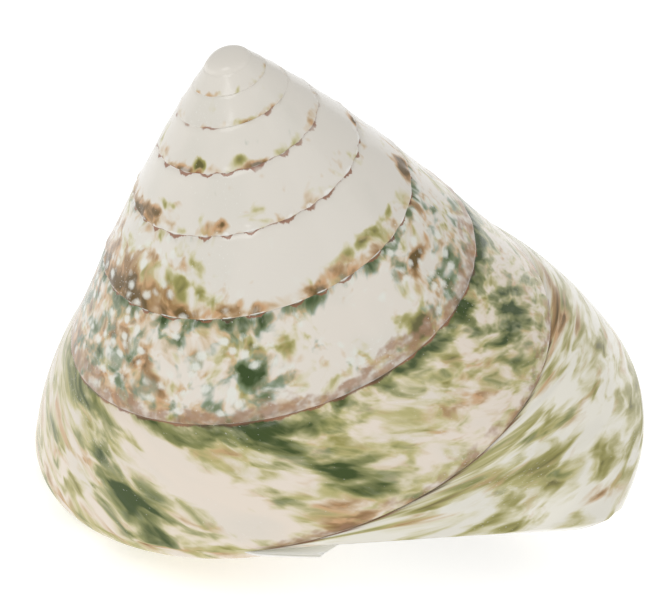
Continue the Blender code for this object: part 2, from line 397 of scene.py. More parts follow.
def spiral_tree(sizes, outside):
    """The whole outer skin: the flank's long strip, the last turn's base, and a cover over the aperture."""
    rule = rule_group(sizes)
    tree, given, leave = new_group(
        "shell_spiral",
        [
            ("Geometry", "NodeSocketGeometry", None),
            ("First Turn", "NodeSocketFloat", None),
            ("Lip Turn", "NodeSocketFloat", None),
            ("Hollow", "NodeSocketFloat", None),
        ],
        [("Geometry", "NodeSocketGeometry")],
    )
    first, lip, hollow = given["First Turn"], given["Lip Turn"], given["Hollow"]
    per_turn = sizes.columns_per_turn
    columns = round((sizes.lip_turn - sizes.first_turn) * per_turn)
    open_turns = 1.0 - sizes.lag
    parts = []

    mesh, across, down = grid_field(tree, columns + 1, FLANK_ROWS)
    growth = mix(first, lip, across)
    share = crowded(down)
    mesh = with_uv(tree, mesh, growth, share)
    parts.append(moved_to(tree, mesh, *call_rule(tree, rule, growth, share)))

    mesh, across, down = grid_field(tree, round(open_turns * per_turn) + 1, BASE_ROWS)
    growth = lip - open_turns + across * open_turns
    share = down + 1.0
    mesh = with_uv(tree, mesh, growth, share)
    parts.append(moved_to(tree, mesh, *call_rule(tree, rule, growth, share)))

    # The cover goes from the lip to where the base starts, or to its edge beside the flank
    for is_base in (False, True):
        mesh, t, down = grid_field(tree, COVER_COLUMNS, BASE_ROWS if is_base else FLANK_ROWS)
        if is_base:
            share = down + 1.0
            share_there = share
        else:
            share = crowded(down)
            share_there = share * 0.0 + 1.0
        turn_a, radius_a, depth_a = call_rule(tree, rule, lip, share)
        turn_b, radius_b, depth_b = call_rule(tree, rule, lip - open_turns, share_there)
        radius = mix(radius_a, radius_b, t)
        over = (radius - COVER_KEPT * sizes.suture_radius).math("MAXIMUM", 0.0)
        radius = radius - t * (1.0 - t) * 4.0 * hollow * over
        depth = mix(depth_a, depth_b, t)
        ahead = field_sin(clip01(t / COVER_RIM) * math.pi) * RIM_AHEAD
        turn = mix(turn_a, turn_b + 1.0, t) + ahead
        mesh = with_uv(tree, mesh, lip + t * COVER_TURNS, share)
        parts.append(moved_to(tree, mesh, turn, radius, depth))

    join = tree.nodes.new("GeometryNodeJoinGeometry")
    for part in reversed(parts):
        tree.links.new(part, join.inputs[0])
    weld = tree.nodes.new("GeometryNodeMergeByDistance")
    weld.inputs["Distance"].default_value = 0.003 * MM
    tree.links.new(join.outputs[0], weld.inputs["Geometry"])
    real = tree.nodes.new("GeometryNodeRealizeInstances")
    tree.links.new(weld.outputs[0], real.inputs["Geometry"])
    paint = tree.nodes.new("GeometryNodeSetMaterial")
    paint.inputs["Material"].default_value = outside
    tree.links.new(real.outputs[0], paint.inputs["Geometry"])
    tree.links.new(paint.outputs[0], leave.inputs["Geometry"])
    return tree


def set_inputs(modifier, values):
    """Sets a node modifier's inputs, each found by its socket's identifier."""
    for item in modifier.node_group.interface.items_tree:
        if item.item_type == "SOCKET" and item.in_out == "INPUT" and item.name in values:
            modifier[item.identifier] = values[item.name]


def add_object(name, data):
    """An object in the scene, at the origin."""
    made = bpy.data.objects.new(name, data)
    bpy.context.scene.collection.objects.link(made)
    return made


def made_plain(holder, name):
    """A plain mesh object from what the modifiers of the holder make."""
    graph = bpy.context.evaluated_depsgraph_get()
    made = add_object(name, bpy.data.meshes.new_from_object(holder.evaluated_get(graph)))
    bpy.data.objects.remove(holder)
    return made


def join_rings(mesh, rings):
    """Quads between each ring of vertices and the next."""
    made = []
    for a, b in zip(rings, rings[1:]):
        for k in range(len(a)):
            n = (k + 1) % len(a)
            made.append(mesh.faces.new([a[k], a[n], b[n], b[k]]))
    return made


class Spiral:
    """The same rule for single points, in (radius, depth), for the chamber that winds up inside."""

    def __init__(self, sizes):
        self.s = sizes

    def radius(self, turn):
        m = turn - self.s.size_turn
        return self.s.suture_radius * math.exp(self.s.growth * m - self.s.growth_slowing * m * m)

    def depth(self, turn):
        ratio = self.radius(turn) / self.s.suture_radius
        power = self.s.steepening + self.s.steepening_with_size * math.log(ratio)
        return self.s.suture_depth * ratio**power

    def ends(self, turn):
        lip = self.s.lip_turn
        swelling = 1 + self.s.swelling * eased(turn, lip - SWELLING_FROM, lip - SWELLING_TO)
        start = np.array([self.radius(turn), self.depth(turn)])
        end = np.array([self.radius(turn + 1) * swelling, self.depth(turn + 1)])
        return start, end

    def arc(self, turn, angle):
        _, end = self.ends(turn)
        size = self.s.edge_rounding * self.radius(turn + 1)
        shift = [math.cos(angle) - math.cos(SUTURE_ANGLE), math.sin(angle) - math.sin(SUTURE_ANGLE)]
        return end + np.array(shift) * size

    def flank(self, turn, share, inset):
        """A point of the flank's straight part, moved in from the surface."""
        start, end = self.ends(turn)
        along = end - start
        outward = np.array([along[1], -along[0]])
        facing = math.atan2(outward[1], outward[0])
        t = share / STRAIGHT_SHARE
        late = eased(turn, self.s.last_turn_start, self.s.last_turn_start + BULGE_TURNS)
        bulge = mix(self.s.bulge, self.s.last_bulge, late)
        point = start + (self.arc(turn, facing) - start) * t + outward * bulge * 4 * t * (1 - t)
        return point - outward / np.linalg.norm(outward) * inset

    def base(self, turn, share, inset):
        """A point of the base's flat part, moved up from the surface."""
        size = self.radius(turn + 1)
        foot = self.arc(turn, BASE_ANGLE)
        x = (share - EDGE_SHARE) / (PIT_RIM_SHARE - EDGE_SHARE)
        radius = foot[0] + (self.s.pit_radius * size - foot[0]) * x
        depth = foot[1] + self.s.base_convexity * size * (1 - (1 - x) ** 2)
        return np.array([radius, depth - inset])

    def chamber(self, turn):
        """The chamber's section at one turn, as a rounded outline."""
        size = self.radius(turn + 1)
        inner_lip = self.s.lip_turn - self.s.lag
        wall = mix(self.s.wall, self.s.lip_wall, eased(turn, inner_lip - self.s.lip_taper, inner_lip))
        wall = min(wall, 0.065 * size)
        glaze = -self.s.glaze
        corner = self.arc(turn, CHAMBER_CORNER_ANGLE)
        way_out = np.array([math.cos(CHAMBER_CORNER_ANGLE), math.sin(CHAMBER_CORNER_ANGLE)])
        corner = corner - way_out * wall * 1.1
        floor_end = self.base(turn, 0.6, wall)
        ceiling = self.base(turn - 1, 0.5, glaze)
        # Down inside the flank, along the base to the pillar, up it, and back under the turn above
        corners = np.array([
            self.flank(turn, 0.24, wall),
            self.flank(turn, 0.5, wall),
            self.flank(turn, 0.74, wall),
            corner,
            self.base(turn, 0.36, wall),
            [self.s.pillar_radius * size, floor_end[1]],
            [self.s.pillar_top_radius * size, ceiling[1]],
            self.base(turn - 1, 0.24, glaze),
        ])
        for _ in range(3):
            after = np.roll(corners, -1, axis=0)
            cut_corners = [0.75 * corners + 0.25 * after, 0.25 * corners + 0.75 * after]
            corners = np.stack(cut_corners, 1).reshape(-1, 2)
        return corners


def make_chamber(sizes, material):
    """The free space inside, as a closed tube."""
    spiral = Spiral(sizes)
    mesh = bmesh.new()
    steps = round((sizes.chamber_last - sizes.chamber_first) * CHAMBER_RINGS_PER_TURN)
    rings = []
    for i in range(steps + 1):
        turn = sizes.chamber_first + (sizes.chamber_last - sizes.chamber_first) * i / steps
        angle = -2 * math.pi * turn
        ring = [
            mesh.verts.new((r * math.cos(angle), r * math.sin(angle), -d)) for r, d in spiral.chamber(turn)
        ]
        rings.append(ring)
    join_rings(mesh, rings)
    mesh.faces.new(rings[0])
    mesh.faces.new(rings[-1][::-1])
    bmesh.ops.triangulate(mesh, faces=[f for f in mesh.faces if len(f.verts) > 4])
    bmesh.ops.recalc_face_normals(mesh, faces=mesh.faces)
    data = bpy.data.meshes.new("chamber")
    mesh.to_mesh(data)
    mesh.free()
    data.materials.append(material)
    return add_object("chamber", data)


def cap_apex(shell, sizes, material):
    """A small dome over the first turn, and the whole skin turned to face outwards."""
    mesh = bmesh.new()
    mesh.from_mesh(shell.data)
    rim = [e for e in mesh.edges if len(e.link_faces) == 1]
    near = [e for e in rim if (e.verts[0].co.xy).length < 0.005]
    tip_z = max(v.co.z for e in near for v in e.verts) + sizes.knob_height
    ring = ordered_ring(near)
    rings = [ring]
    for step in range(1, DOME_RINGS + 1):
        a = math.radians(90) * step / (DOME_RINGS + 1)
        new = []
        for v in ring:
            z = v.co.z + (tip_z - v.co.z) * math.sin(a)
            new.append(mesh.verts.new((v.co.x * math.cos(a), v.co.y * math.cos(a), z)))
        rings.append(new)
    tip = mesh.verts.new((0, 0, tip_z))
    uv = mesh.loops.layers.uv.get("growth_and_share")
    made = join_rings(mesh, rings)
    for k in range(len(ring)):
        made.append(mesh.faces.new([rings[-1][k], rings[-1][(k + 1) % len(ring)], tip]))
    for face in made:
        for loop in face.loops:
            loop[uv].uv = (sizes.first_turn, 0.5)
    # The corner where the suture ends at the lip is left open by the two edges that meet there
    corner = [e for e in mesh.edges if e.is_boundary]
    filled = bmesh.ops.holes_fill(mesh, edges=corner, sides=8)["faces"]
    for face in filled:
        for loop in face.loops:
            loop[uv].uv = (sizes.lip_turn, 0.0)
    bmesh.ops.triangulate(mesh, faces=filled)
    for face in mesh.faces:
        face.material_index = 0
    bmesh.ops.recalc_face_normals(mesh, faces=mesh.faces)
    mesh.to_mesh(shell.data)
    mesh.free()
    shell.data.materials.clear()
    shell.data.materials.append(material)


def ordered_ring(edges):
    """The vertices of one closed ring of edges, in order."""
    beside = {}
    for e in edges:
        for v, w in (e.verts, reversed(e.verts)):
            beside.setdefault(v, []).append(w)
    start = edges[0].verts[0]
    ring = [start]
    before, here = None, start
    while True:
        step = [v for v in beside[here] if v is not before][0]
        if step is start:
            return ring
        ring.append(step)
        before, here = here, step


def rest_pose(pose):
    """The turn from the shell's own frame to the pose in which it lies still."""
    heading = pose.lean_heading
    lean_axis = Vector((-math.sin(heading), math.cos(heading), 0))
    return Matrix.Rotation(pose.heading, 4, "Z") @ Matrix.Rotation(pose.lean, 4, lean_axis)


def new_material(name):
    """A material with an empty tree but for its shader and output."""
    material = bpy.data.materials.new(name)
    material.use_nodes = True
    tree = material.node_tree
    tree.nodes.clear()
    shader = tree.nodes.new("ShaderNodeBsdfPrincipled")
    output = tree.nodes.new("ShaderNodeOutputMaterial")
    tree.links.new(shader.outputs[0], output.inputs["Surface"])
    return material, tree, shader


# The markings that stand out, laid out one by one: where a pigment is thicker (or, below 0, thinner)
# than its usual spread. Growth and share say where, and every patch has soft, ragged edges.
PATCHES = (
    # pigment, growth, share, half its width in turns, half its height as a share, strength
    ("olive", 1.195, 0.69, 0.022, 0.17, 0.9),
    ("olive", 1.287, 0.71, 0.022, 0.18, 1.0),
    ("brown", 1.2, 0.92, 0.03, 0.12, 0.7),
    ("brown", 1.34, 0.9, 0.05, 0.1, 0.7),
    ("brown", 1.94, 0.87, 0.02, 0.1, 0.6),
    ("olive", 2.18, 0.63, 0.03, 0.1, 0.7),
    ("olive", 2.3, 0.55, 0.02, 0.1, 0.7),
    ("brown", 2.255, 0.8, 0.015, 0.16, 0.7),
    ("brown", 2.36, 0.72, 0.04, 0.14, 0.7),
    ("brown", 2.44, 0.9, 0.06, 0.14, 0.8),
    ("brown", 2.95, 0.78, 0.022, 0.12, 0.9),
    ("olive", 3.07, 0.7, 0.05, 0.1, 0.6),
    ("all", 3.03, 0.3, 0.13, 0.35, -0.6),
    ("olive", 2.42, 0.4, 0.04, 0.2, 0.5),
    ("olive", 1.42, 0.4, 0.05, 0.3, 0.5),
    ("brown", 3.2, 0.86, 0.2, 0.1, 0.15),
    ("brown", 3.36, 0.66, 0.11, 0.32, 0.42),
    ("olive", 3.3, 0.62, 0.08, 0.25, 0.45),
    ("brown", 3.95, 0.3, 0.035, 0.08, 0.8),
    ("olive", 4.08, 0.78, 0.02, 0.14, 0.9),
    ("green", 4.185, 0.55, 0.02, 0.2, 0.6),
    ("green", 3.98, 0.7, 0.07, 0.2, 0.35),
    ("olive", 4.12, 0.3, 0.05, 0.15, 0.4),
    ("green", 4.98, 0.6, 0.03, 0.2, 0.35),
    ("green", 4.36, 0.42, 0.11, 0.6, 0.24),
    ("brown", 4.34, 0.42, 0.12, 0.6, 0.36),
    ("all", 4.06, 0.4, 0.045, 0.3, -0.4),
    ("green", 4.82, 0.05, 0.05, 0.12, 0.3),
    ("green", 5.07, 0.12, 0.035, 0.16, 0.2),
    ("green", 4.92, 0.4, 0.03, 0.22, 0.4),
    ("brown", 5.04, 0.55, 0.035, 0.12, 0.45),
    ("green", 5.125, 0.45, 0.02, 0.4, 0.5),
    ("all", 5.21, 0.45, 0.022, 0.33, -0.7),
    ("brown", 5.195, 0.82, 0.012, 0.16, 0.5),
    ("green", 5.285, 0.62, 0.035, 0.34, 0.42),
    ("green", 5.96, 0.3, 0.012, 0.25, 0.45),
    ("green", 6.025, 0.35, 0.012, 0.35, 0.45),
    ("brown", 5.83, 0.1, 0.06, 0.1, 0.5),
    ("green", 6.115, 0.12, 0.02, 0.1, 0.7),
)


def noise_at(tree, x, y, z, detail=2.0, roughness=0.5):
    """Cloudy noise at a point given by three fields, spread about 0."""
    node = tree.nodes.new("ShaderNodeTexNoise")
    node.inputs["Scale"].default_value = 1.0
    node.inputs["Detail"].default_value = detail
    node.inputs["Roughness"].default_value = roughness
    tree.links.new(joined_xyz(tree, x, y, z), node.inputs["Vector"])
    return Field(tree, node.outputs[0]) - 0.5


def blend(tree, low, high, amount):
    """A colour between two, each a colour or a socket."""
    node = tree.nodes.new("ShaderNodeMix")
    node.data_type = "RGBA"
    put(tree, amount, node.inputs[0])
    for value, slot in ((low, node.inputs[6]), (high, node.inputs[7])):
        if isinstance(value, bpy.types.NodeSocket):
            tree.links.new(value, slot)
        else:
            slot.default_value = (*value, 1.0)
    return node.outputs[2]


def soft_band(x, low, high, edge):
    """1 between low and high, 0 outside, with soft edges."""
    return ramp(x, low - edge, low + edge) * (1.0 - ramp(x, high - edge, high + edge))


def bell(x, middle, half):
    """A soft hump, 1 at its middle."""
    y = (x - middle) / half
    return field_exp(y * y * -1.0)


def size_at(turn, sizes):
    """The suture's radius at a turn, in millimetres, as a field."""
    m = turn - sizes.size_turn
    return field_exp(m * sizes.growth - m * m * sizes.growth_slowing) * (sizes.suture_radius / MM)


def beat_of(size, sizes):
    """An uneven beat along the suture, from -1 to 1, that the beads and the suture's line follow."""
    arc = size * (ARC_OF_RADIUS * 2 * math.pi / (sizes.bead_spacing / MM))
    return field_sin(arc + field_sin(arc * 0.31) * 1.1)


class Markings:
    """Fields that the shell's markings are made of, in the outside material's tree.

    own_turn is the turn of a point about the axis. turn is the one that its markings follow: its own
    on the spire, its growth line's at the lip. along and across are lengths in millimetres along the
    spiral and down the flank, and below is 0 on the flank and 1 on the base.
    """

    def __init__(self, tree, sizes):
        self.tree = tree
        self.sizes = sizes
        uv = tree.nodes.new("ShaderNodeUVMap")
        uv.uv_map = "growth_and_share"
        self.growth, self.share, _ = parted_xyz(tree, uv.outputs[0])
        place = tree.nodes.new("ShaderNodeTexCoord")
        self.place = [way / MM for way in parted_xyz(tree, place.outputs["Object"])]

        flank = clip01(self.share)
        lag = lag_on_flank(flank) * sizes.lag
        self.own_turn = self.growth - lag
        self.turn = self.growth - lag * (1.0 - ramp(self.growth, SLANT_FROM, SLANT_TO))
        size = size_at(self.turn, sizes)
        self.along = size * ARC_OF_RADIUS
        self.across = flank * size * FLANK_LENGTH
        self.below = ramp(self.share, 1.0, 1.05)
        self.bend_a = noise_at(tree, self.along / 5.0, self.across / 5.0, 3.1) * 3.0
        self.bend_b = noise_at(tree, self.along / 4.0, self.across / 4.0, 8.7) * 3.0
        self.find_suture()

    def find_suture(self):
        """Keeps the nearest suture's turn, its radius and the distance below it in millimetres."""
        sizes = self.sizes
        lower_side = self.share.math("LESS_THAN", 0.5)
        self.suture_turn = self.own_turn + 1.0 - lower_side
        self.suture_size = size_at(self.suture_turn, sizes)
        own_size = size_at(self.own_turn, sizes) * FLANK_LENGTH
        self.below_suture = mix((self.share - 1.0) * own_size, self.share * own_size, lower_side)
        free = ramp(self.suture_turn, sizes.lip_turn - 0.02, sizes.lip_turn)
        self.has_suture = (1.0 - free) * (1.0 - self.below)
        self.late_suture = ramp(self.suture_turn, 4.1, 4.7)

    def noise(self, grain, seed, detail=2.0, roughness=0.5, bend=1.0):
        """Noise with grains of a given length and height, in the skin's own directions."""
        x = (self.along + self.bend_a * bend) / grain[0]
        y = (self.across + self.bend_b * bend) / grain[1]
        return noise_at(self.tree, x, y, seed, detail, roughness)

    def noise_all_round(self, grain, seed, detail=2.0, roughness=0.5):
        """The same on the flank, and even grains on the base."""
        length, height = grain
        on_flank = self.noise(grain, seed, detail, roughness)
        x, y, z = self.place
        on_base = noise_at(self.tree, x / length, y / length, z / length + seed, detail, roughness)
        return mix(on_flank, on_base, self.below)

    def voronoi(self, grain, seed):
        """Distance from the nearest of many scattered points, in grains."""
        x = (self.along + self.bend_a * 0.5) / grain[0]
        y = (self.across + self.bend_b * 0.3) / grain[1]
        node = self.tree.nodes.new("ShaderNodeTexVoronoi")
        node.inputs["Scale"].default_value = 1.0
        node.inputs["Randomness"].default_value = 0.75
        self.tree.links.new(joined_xyz(self.tree, x, y, seed), node.inputs["Vector"])
        return Field(self.tree, node.outputs["Distance"])

    def usual(self):
        """How thick each pigment is without its patches: at 0.5 it covers half of the ground."""
        turn, share = self.turn, self.share
        foot = ramp(share, 0.5, 0.95)
        on_spire = 1.0 - ramp(turn, 2.3, 3.2)
        low = foot * on_spire * 0.3 - on_spire * 0.35
        sixth = ramp(turn, 4.5, 5.0)
        last = ramp(turn, 5.4, 5.8)

        # Green stains hang under the sutures, and brown gathers above the one below the fifth turn
        below = self.below_suture
        under = bell(below, 0.2, self.late_suture * 0.9 + 0.6) * ramp(below, -0.3, 0.1)
        under = under * ramp(self.suture_turn, 2.3, 3.4) * self.has_suture
        above = bell(below, -0.7, 0.9) * (1.0 - ramp(below, -0.1, 0.1))
        above = above * soft_band(self.suture_turn, 3.9, 4.7, 0.2) * self.has_suture
        return {
            "green": ramp(turn, 2.8, 4.3) * 0.5 - 0.33 + sixth * 0.05 - last * 0.34
            + under * (0.38 - self.late_suture * 0.08),
            "olive": low + 0.14 + sixth * 0.1 + last * 0.06,
            "brown": low + 0.18 + foot * (1.0 - last) * 0.1 - sixth * 0.05 - last * 0.1 + above * 0.2,
        }

    def thickness(self):
        """How thick each pigment is, with its patches and its ragged edges."""
        thick = self.usual()
        for pigment, growth, share, half_turn, half_share, strength in PATCHES:
            lag = lag_on_flank(share) * self.sizes.lag
            turn = growth - lag * (1 - eased(growth, SLANT_FROM, SLANT_TO))
            patch = bell(self.turn, turn, half_turn) * bell(self.share, share, half_share) * strength
            for name in thick:
                if pigment in (name, "all"):
                    thick[name] = thick[name] + patch
        streaky = ramp(self.growth, 4.9, 5.3)
        for seed, name in enumerate(thick, 11):
            fine = self.noise_all_round(FINE_GRAIN, seed * 3.0, 2.0, 0.45)
            broad = self.noise_all_round(BROAD_GRAIN, seed * 3.0 + 1.3)
            streaks = self.noise(STREAK_GRAIN, seed * 3.0 + 2.1, 2.5, 0.5, 1.4)
            thick[name] = thick[name] + mix(fine, streaks, streaky) * 1.7 + broad * 1.2
        return thick


def ground_colour(skin, look, worn):
    """Ivory on the spire, cream on the last turns, with pearly clouds."""
    tree, turn = skin.tree, skin.turn
    colour = blend(tree, look.ground, look.ground_warm, ramp(turn, 3.4, 5.0))
    colour = blend(tree, colour, look.ground_at_lip, ramp(turn, 5.4, 5.9))
    return blend(tree, colour, look.cloud, ramp(worn, -0.05, 0.15) * 0.4)


def with_pigments(skin, look, colour, tint, fleck):
    """Olive, brown and green over the ground, each from a pale fringe to a dark core."""
    tree, turn = skin.tree, skin.turn
    thick = skin.thickness()
    on_last = ramp(turn, 4.4, 5.0)
    fringe = blend(tree, look.teal, look.tan, ramp(tint, -0.02, 0.06))
    late_fringe = blend(tree, look.pale_olive, look.tan, ramp(tint, 0.05, 0.14) * 0.8)
    fringe = blend(tree, fringe, late_fringe, on_last)
    middle = blend(tree, look.green, look.teal, ramp(tint, 0.0, 0.12) * 0.5)
    middle = blend(tree, middle, look.olive, on_last * 0.4)
    warm = blend(tree, look.brown, look.orange, ramp(tint, 0.0, 0.08))
    layers = (
        # thickness, fringe, full colour, core, the thickness at which the fringe starts
        (thick["olive"], look.pale_olive, look.olive, look.dark_olive, 0.22),
        (thick["brown"], look.tan, warm, look.umber, 0.25),
        (thick["green"], fringe, middle, look.dark_green, 0.2),
    )
    for value, pale, full, core, start in layers:
        value = value + fleck * 0.25
        colour = blend(tree, colour, pale, ramp(value, start - 0.06, start + 0.26) * 0.7)
        colour = blend(tree, colour, full, ramp(value, start + 0.1, start + 0.42) * 0.85)
        colour = blend(tree, colour, core, ramp(value, start + 0.34, start + 0.7) * 0.9)

    # Rows of round pale dots where the ground shows through the thick markings
    dots = 1.0 - ramp(skin.voronoi(DOT_GRAIN, 5.0) + fleck * 0.5, 0.14, 0.46)
    dots = dots * ramp(turn, 2.9, 3.2) * (1.0 - ramp(turn, 4.5, 4.9))
    marked = ramp(thick["green"].math("MAXIMUM", thick["brown"]), -0.1, 0.25)
    return blend(tree, colour, look.dot, dots * marked * 0.85 * (1.0 - skin.below))


def with_suture(skin, look, colour, tint, fleck):
    """A rosy belt and pale beads above each suture, and its thin, wavering line."""
    tree, sizes = skin.tree, skin.sizes
    below, suture_turn, there, late = skin.below_suture, skin.suture_turn, skin.has_suture, skin.late_suture
    beat = beat_of(skin.suture_size, sizes)
    arc = skin.suture_size * ARC_OF_RADIUS
    rough = noise_at(tree, arc / 0.9, suture_turn.math("FLOOR"), 31.0, 3.0, 0.6)
    breaks = noise_at(tree, arc / 4.5, below / 1.4, 35.0)
    ragged = noise_at(tree, arc / 1.2, below / 0.9, 45.0)
    swing = (1.0 - ramp(suture_turn, 4.4, 5.2) * 0.65) * ramp(skin.suture_size, 1.5, 8.0)
    from_line = below - beat * swing * 0.17 - rough * swing * 0.35

    # The belt, on the last turns
    reach = late * 1.7 - ramp(suture_turn, 5.3, 5.7) * 0.6
    belt = ramp(below + breaks * 4.0 + ragged * 3.0 + reach, -0.5, 0.7)
    belt = belt * (1.0 - ramp(below, -0.05, 0.05)) * late * there
    belt_colour = blend(tree, look.rosy, look.grey_brown, ramp(below + breaks * 2.0 + fleck, -0.9, -0.1))
    belt_colour = blend(tree, belt_colour, look.orange, ramp(tint, 0.05, 0.15) * 0.6)
    colour = blend(tree, colour, belt_colour, belt * (ramp(ragged, -0.15, 0.1) * 0.4 + 0.4))

    # The beads, on the turns before
    height = (from_line + 0.42) / 0.34
    bead = ramp(beat + ragged * 1.5 - height * height * 0.9, 0.15, 0.8) * ramp(suture_turn, 1.8, 2.6)
    bead = bead * (1.0 - late * 0.9) * there
    colour = blend(tree, colour, look.bead, bead * ramp(rough, -0.2, -0.02) * 0.85)

    # The line, which is broken on the upper spire and darker from the fourth turn on
    width = ramp(rough + breaks, -0.15, 0.25) * 0.12 + 0.05 + late * 0.08
    line = (1.0 - ramp(from_line.math("ABSOLUTE") / width, 0.5, 1.5)) * there
    deep = ramp(suture_turn, 3.4, 3.8)
    line_colour = blend(tree, look.line, look.dark_line, ramp(breaks, -0.05, 0.12) * deep * 0.75)
    whole = ramp(suture_turn, 1.6, 2.1)
    seen = mix(ramp(breaks, 0.02, 0.08), 1.0 - ramp(breaks, 0.1, 0.16) * 0.5, whole)
    line = line * seen * ramp(suture_turn, 0.7, 1.0)
    return blend(tree, colour, line_colour, line * 0.85), line


def outside_material(look, sizes):
    """Ivory with clouds and streaks of green, olive and brown, under a polished surface."""
    material, tree, shader = new_material("shell_outside")
    skin = Markings(tree, sizes)
    tint = skin.noise_all_round(TINT_GRAIN, 61.0, 3.0, 0.6)
    fleck = skin.noise_all_round(FLECK_GRAIN, 65.0, 3.0, 0.6)
    worn = skin.noise_all_round(WORN_GRAIN, 69.0)
    colour = ground_colour(skin, look, worn)
    colour = with_pigments(skin, look, colour, tint, fleck)
    colour, line = with_suture(skin, look, colour, tint, fleck)

    # Tiny white grains in the polish
    grain = noise_at(tree, skin.along / WHITE_GRAIN, skin.across / WHITE_GRAIN, 81.0, 1.0)
    grain = ramp(grain + worn * 0.4, 0.22, 0.27)
    colour = blend(tree, colour, look.bead, grain * 0.4)

    # The rim of the aperture beyond the lip is pearly, except beside the suture. Its pearl is nacre's own
    # white made paler still as painted light, so that the rim's downward-facing ledge, which the lamps leave
    # in shade, looks brightly lit.
    rim = ramp(skin.growth, sizes.lip_turn + 0.0005, sizes.lip_turn + 0.004) * ramp(skin.share, 0.22, 0.4)
    colour = blend(tree, colour, look.pearl_and_painted_light, rim)
    tree.links.new(colour, shader.inputs["Base Color"])

    put(tree, skin.noise((3.0, 3.0), 91.0, 3.0) * 0.2 + look.roughness, shader.inputs["Roughness"])
    shader.inputs["Specular IOR Level"].default_value = 0.25
    shader.inputs["Coat Weight"].default_value = 0.18
    shader.inputs["Coat Roughness"].default_value = 0.05

    # Very fine growth lines, and the shallow unevenness of a ground and polished surface
    lines = noise_at(tree, skin.growth * 110.0, skin.share * 1.5, 95.0, 3.0, 0.6)
    uneven = skin.noise((2.4, 2.4), 99.0, 2.0)
    bump = tree.nodes.new("ShaderNodeBump")
    bump.inputs["Strength"].default_value = 0.2
    bump.inputs["Distance"].default_value = 0.12 * MM
    put(tree, lines * 0.3 + uneven * 0.8 - grain * 0.2 - line * 0.5, bump.inputs["Height"])
    tree.links.new(bump.outputs[0], shader.inputs["Normal"])
    return material


def inside_material(look):
    """Mother of pearl: cloudy white with faint rose and green bands that follow the chamber."""
    material, tree, shader = new_material("shell_inside")
    place = tree.nodes.new("ShaderNodeTexCoord")
    x, y, z = (way / MM for way in parted_xyz(tree, place.outputs["Object"]))
    cloud = noise_at(tree, x / 6.0, y / 6.0, z / 6.0, 3.0)
    bands = field_sin(z * 1.1 + cloud * 14.0)
    # The pearl white here is the same one, painted paler than nacre as painted light for the shaded ledge of
    # the rim.
    colour = blend(tree, look.pearl_and_painted_light, look.pearl_rose, ramp(bands, 0.0, 1.0) * 0.6)
    colour = blend(tree, colour, look.pearl_green, ramp(bands * -1.0, 0.0, 1.0) * 0.6)
    tree.links.new(colour, shader.inputs["Base Color"])
    put(tree, cloud * 0.2 + 0.22, shader.inputs["Roughness"])
    shader.inputs["IOR"].default_value = 1.6
    shader.inputs["Coat Weight"].default_value = 0.3
    shader.inputs["Coat Roughness"].default_value = 0.1
    return material


def number(name, description, default):
    return FloatProperty(name=name, description=description, default=default, precision=4)


def length(name, description, millimetres):
    return FloatProperty(
        name=name,
        description=description,
        default=millimetres * MM,
        precision=5,
        subtype="DISTANCE",
        unit="LENGTH",
    )


def angle(name, description, degrees):
    return FloatProperty(name=name, description=description, default=math.radians(degrees), subtype="ANGLE")


def colour_of(name, description, default):
    return FloatVectorProperty(
        name=name, description=description, default=default, subtype="COLOR", min=0.0, max=1.0
    )


class ShellSizes(bpy.types.PropertyGroup):
    """The numbers of the spiral's rule, of the wall and of the mesh"""

    first_turn: number("First turn", "Where the spiral starts, in turns", -1.53)
    lip_turn: number("Lip turn", "Where the suture meets the lip, in turns", 6.07)
    size_turn: number("Turn of sizes", "The turn whose sizes are given", 6.0)
    suture_radius: length("Suture radius", "At the turn of sizes", 24.0)
    suture_depth: length("Suture depth", "Below the apex, at the turn of sizes", 35.25)
    growth: number("Growth", "Growth of the radius in a turn, as a logarithm", 0.2405)
    growth_slowing: number("Growth slowing", "How the growth falls from turn to turn", 0.0160)
    steepening: number("Steepening", "Power of the depth over the radius", 1.213)
    steepening_with_size: number("Steepening with size", "How that power rises with size", 0.032)
    knob_height: length("Knob height", "Height of the dome on the first turn", 0.35)
    bulge: number("Bulge", "Of the flank, as a share of its length", -0.01)
    last_bulge: number("Last bulge", "Of the last turn's flank", 0.045)
    last_turn_start: number("Last turn's start", "Where the flank starts to bulge", 4.8)
    swelling: number("Swelling", "How much wider the shell is near the lip", 0.03)
    edge_rounding: number("Edge rounding", "Radius of the edge as a share of the turn's", 0.037)
    lag: number("Lag", "How far a growth line falls behind over the flank, in turns", 0.2)
    lag_shape: number("Lag shape", "Power of the lag along the lip", 0.48)
    base_lag: number("Base lag", "The same over the base", 0.03)
    base_convexity: number("Base convexity", "As a share of the radius", 0.035)
    pit_radius: number("Pit radius", "As a share of the radius", 0.19)
    pit_depth: length("Pit depth", "Depth of the pit's bottom below the apex", 37.6)
    bead_spacing: length("Bead spacing", "Along the suture", 2.9)
    bead_height: length("Bead height", "Of the beads along the suture", 0.08)
    groove: length("Suture groove", "Depth of the groove at the suture", 0.18)
    wall: length("Wall", "Thickness of the wall", 1.7)
    lip_wall: length("Lip's wall", "Thickness of the wall at the lip", 1.0)
    lip_taper: number("Lip's taper", "Turns over which the wall thins", 0.25)
    cover_hollow: number("Cover's hollow", "How far the aperture's cover is drawn in, as a share", 0.17)
    glaze: length("Glaze", "Thickness of the pearly coat on the turn above", 0.3)
    pillar_radius: number("Pillar radius", "At the base, as a share of the radius", 0.235)
    pillar_top_radius: number("Pillar's top radius", "Under the turn above", 0.15)
    chamber_first: number("Chamber's first turn", "How far up the chamber goes", 4.35)
    chamber_last: number("Chamber's last turn", "Beyond the lip, in free air", 6.32)
    columns_per_turn: IntProperty(name="Columns", description="How finely a turn is cut", default=300)


class ShellPose(bpy.types.PropertyGroup):
    """How the shell lies"""

    lean: angle("Lean", "Of the axis from the vertical, at rest", 13.8)
    lean_heading: angle("Lean heading", "Which way the apex leans", 262.5)
    heading: angle("Heading", "Turn of the whole shell about the vertical", -74.9)


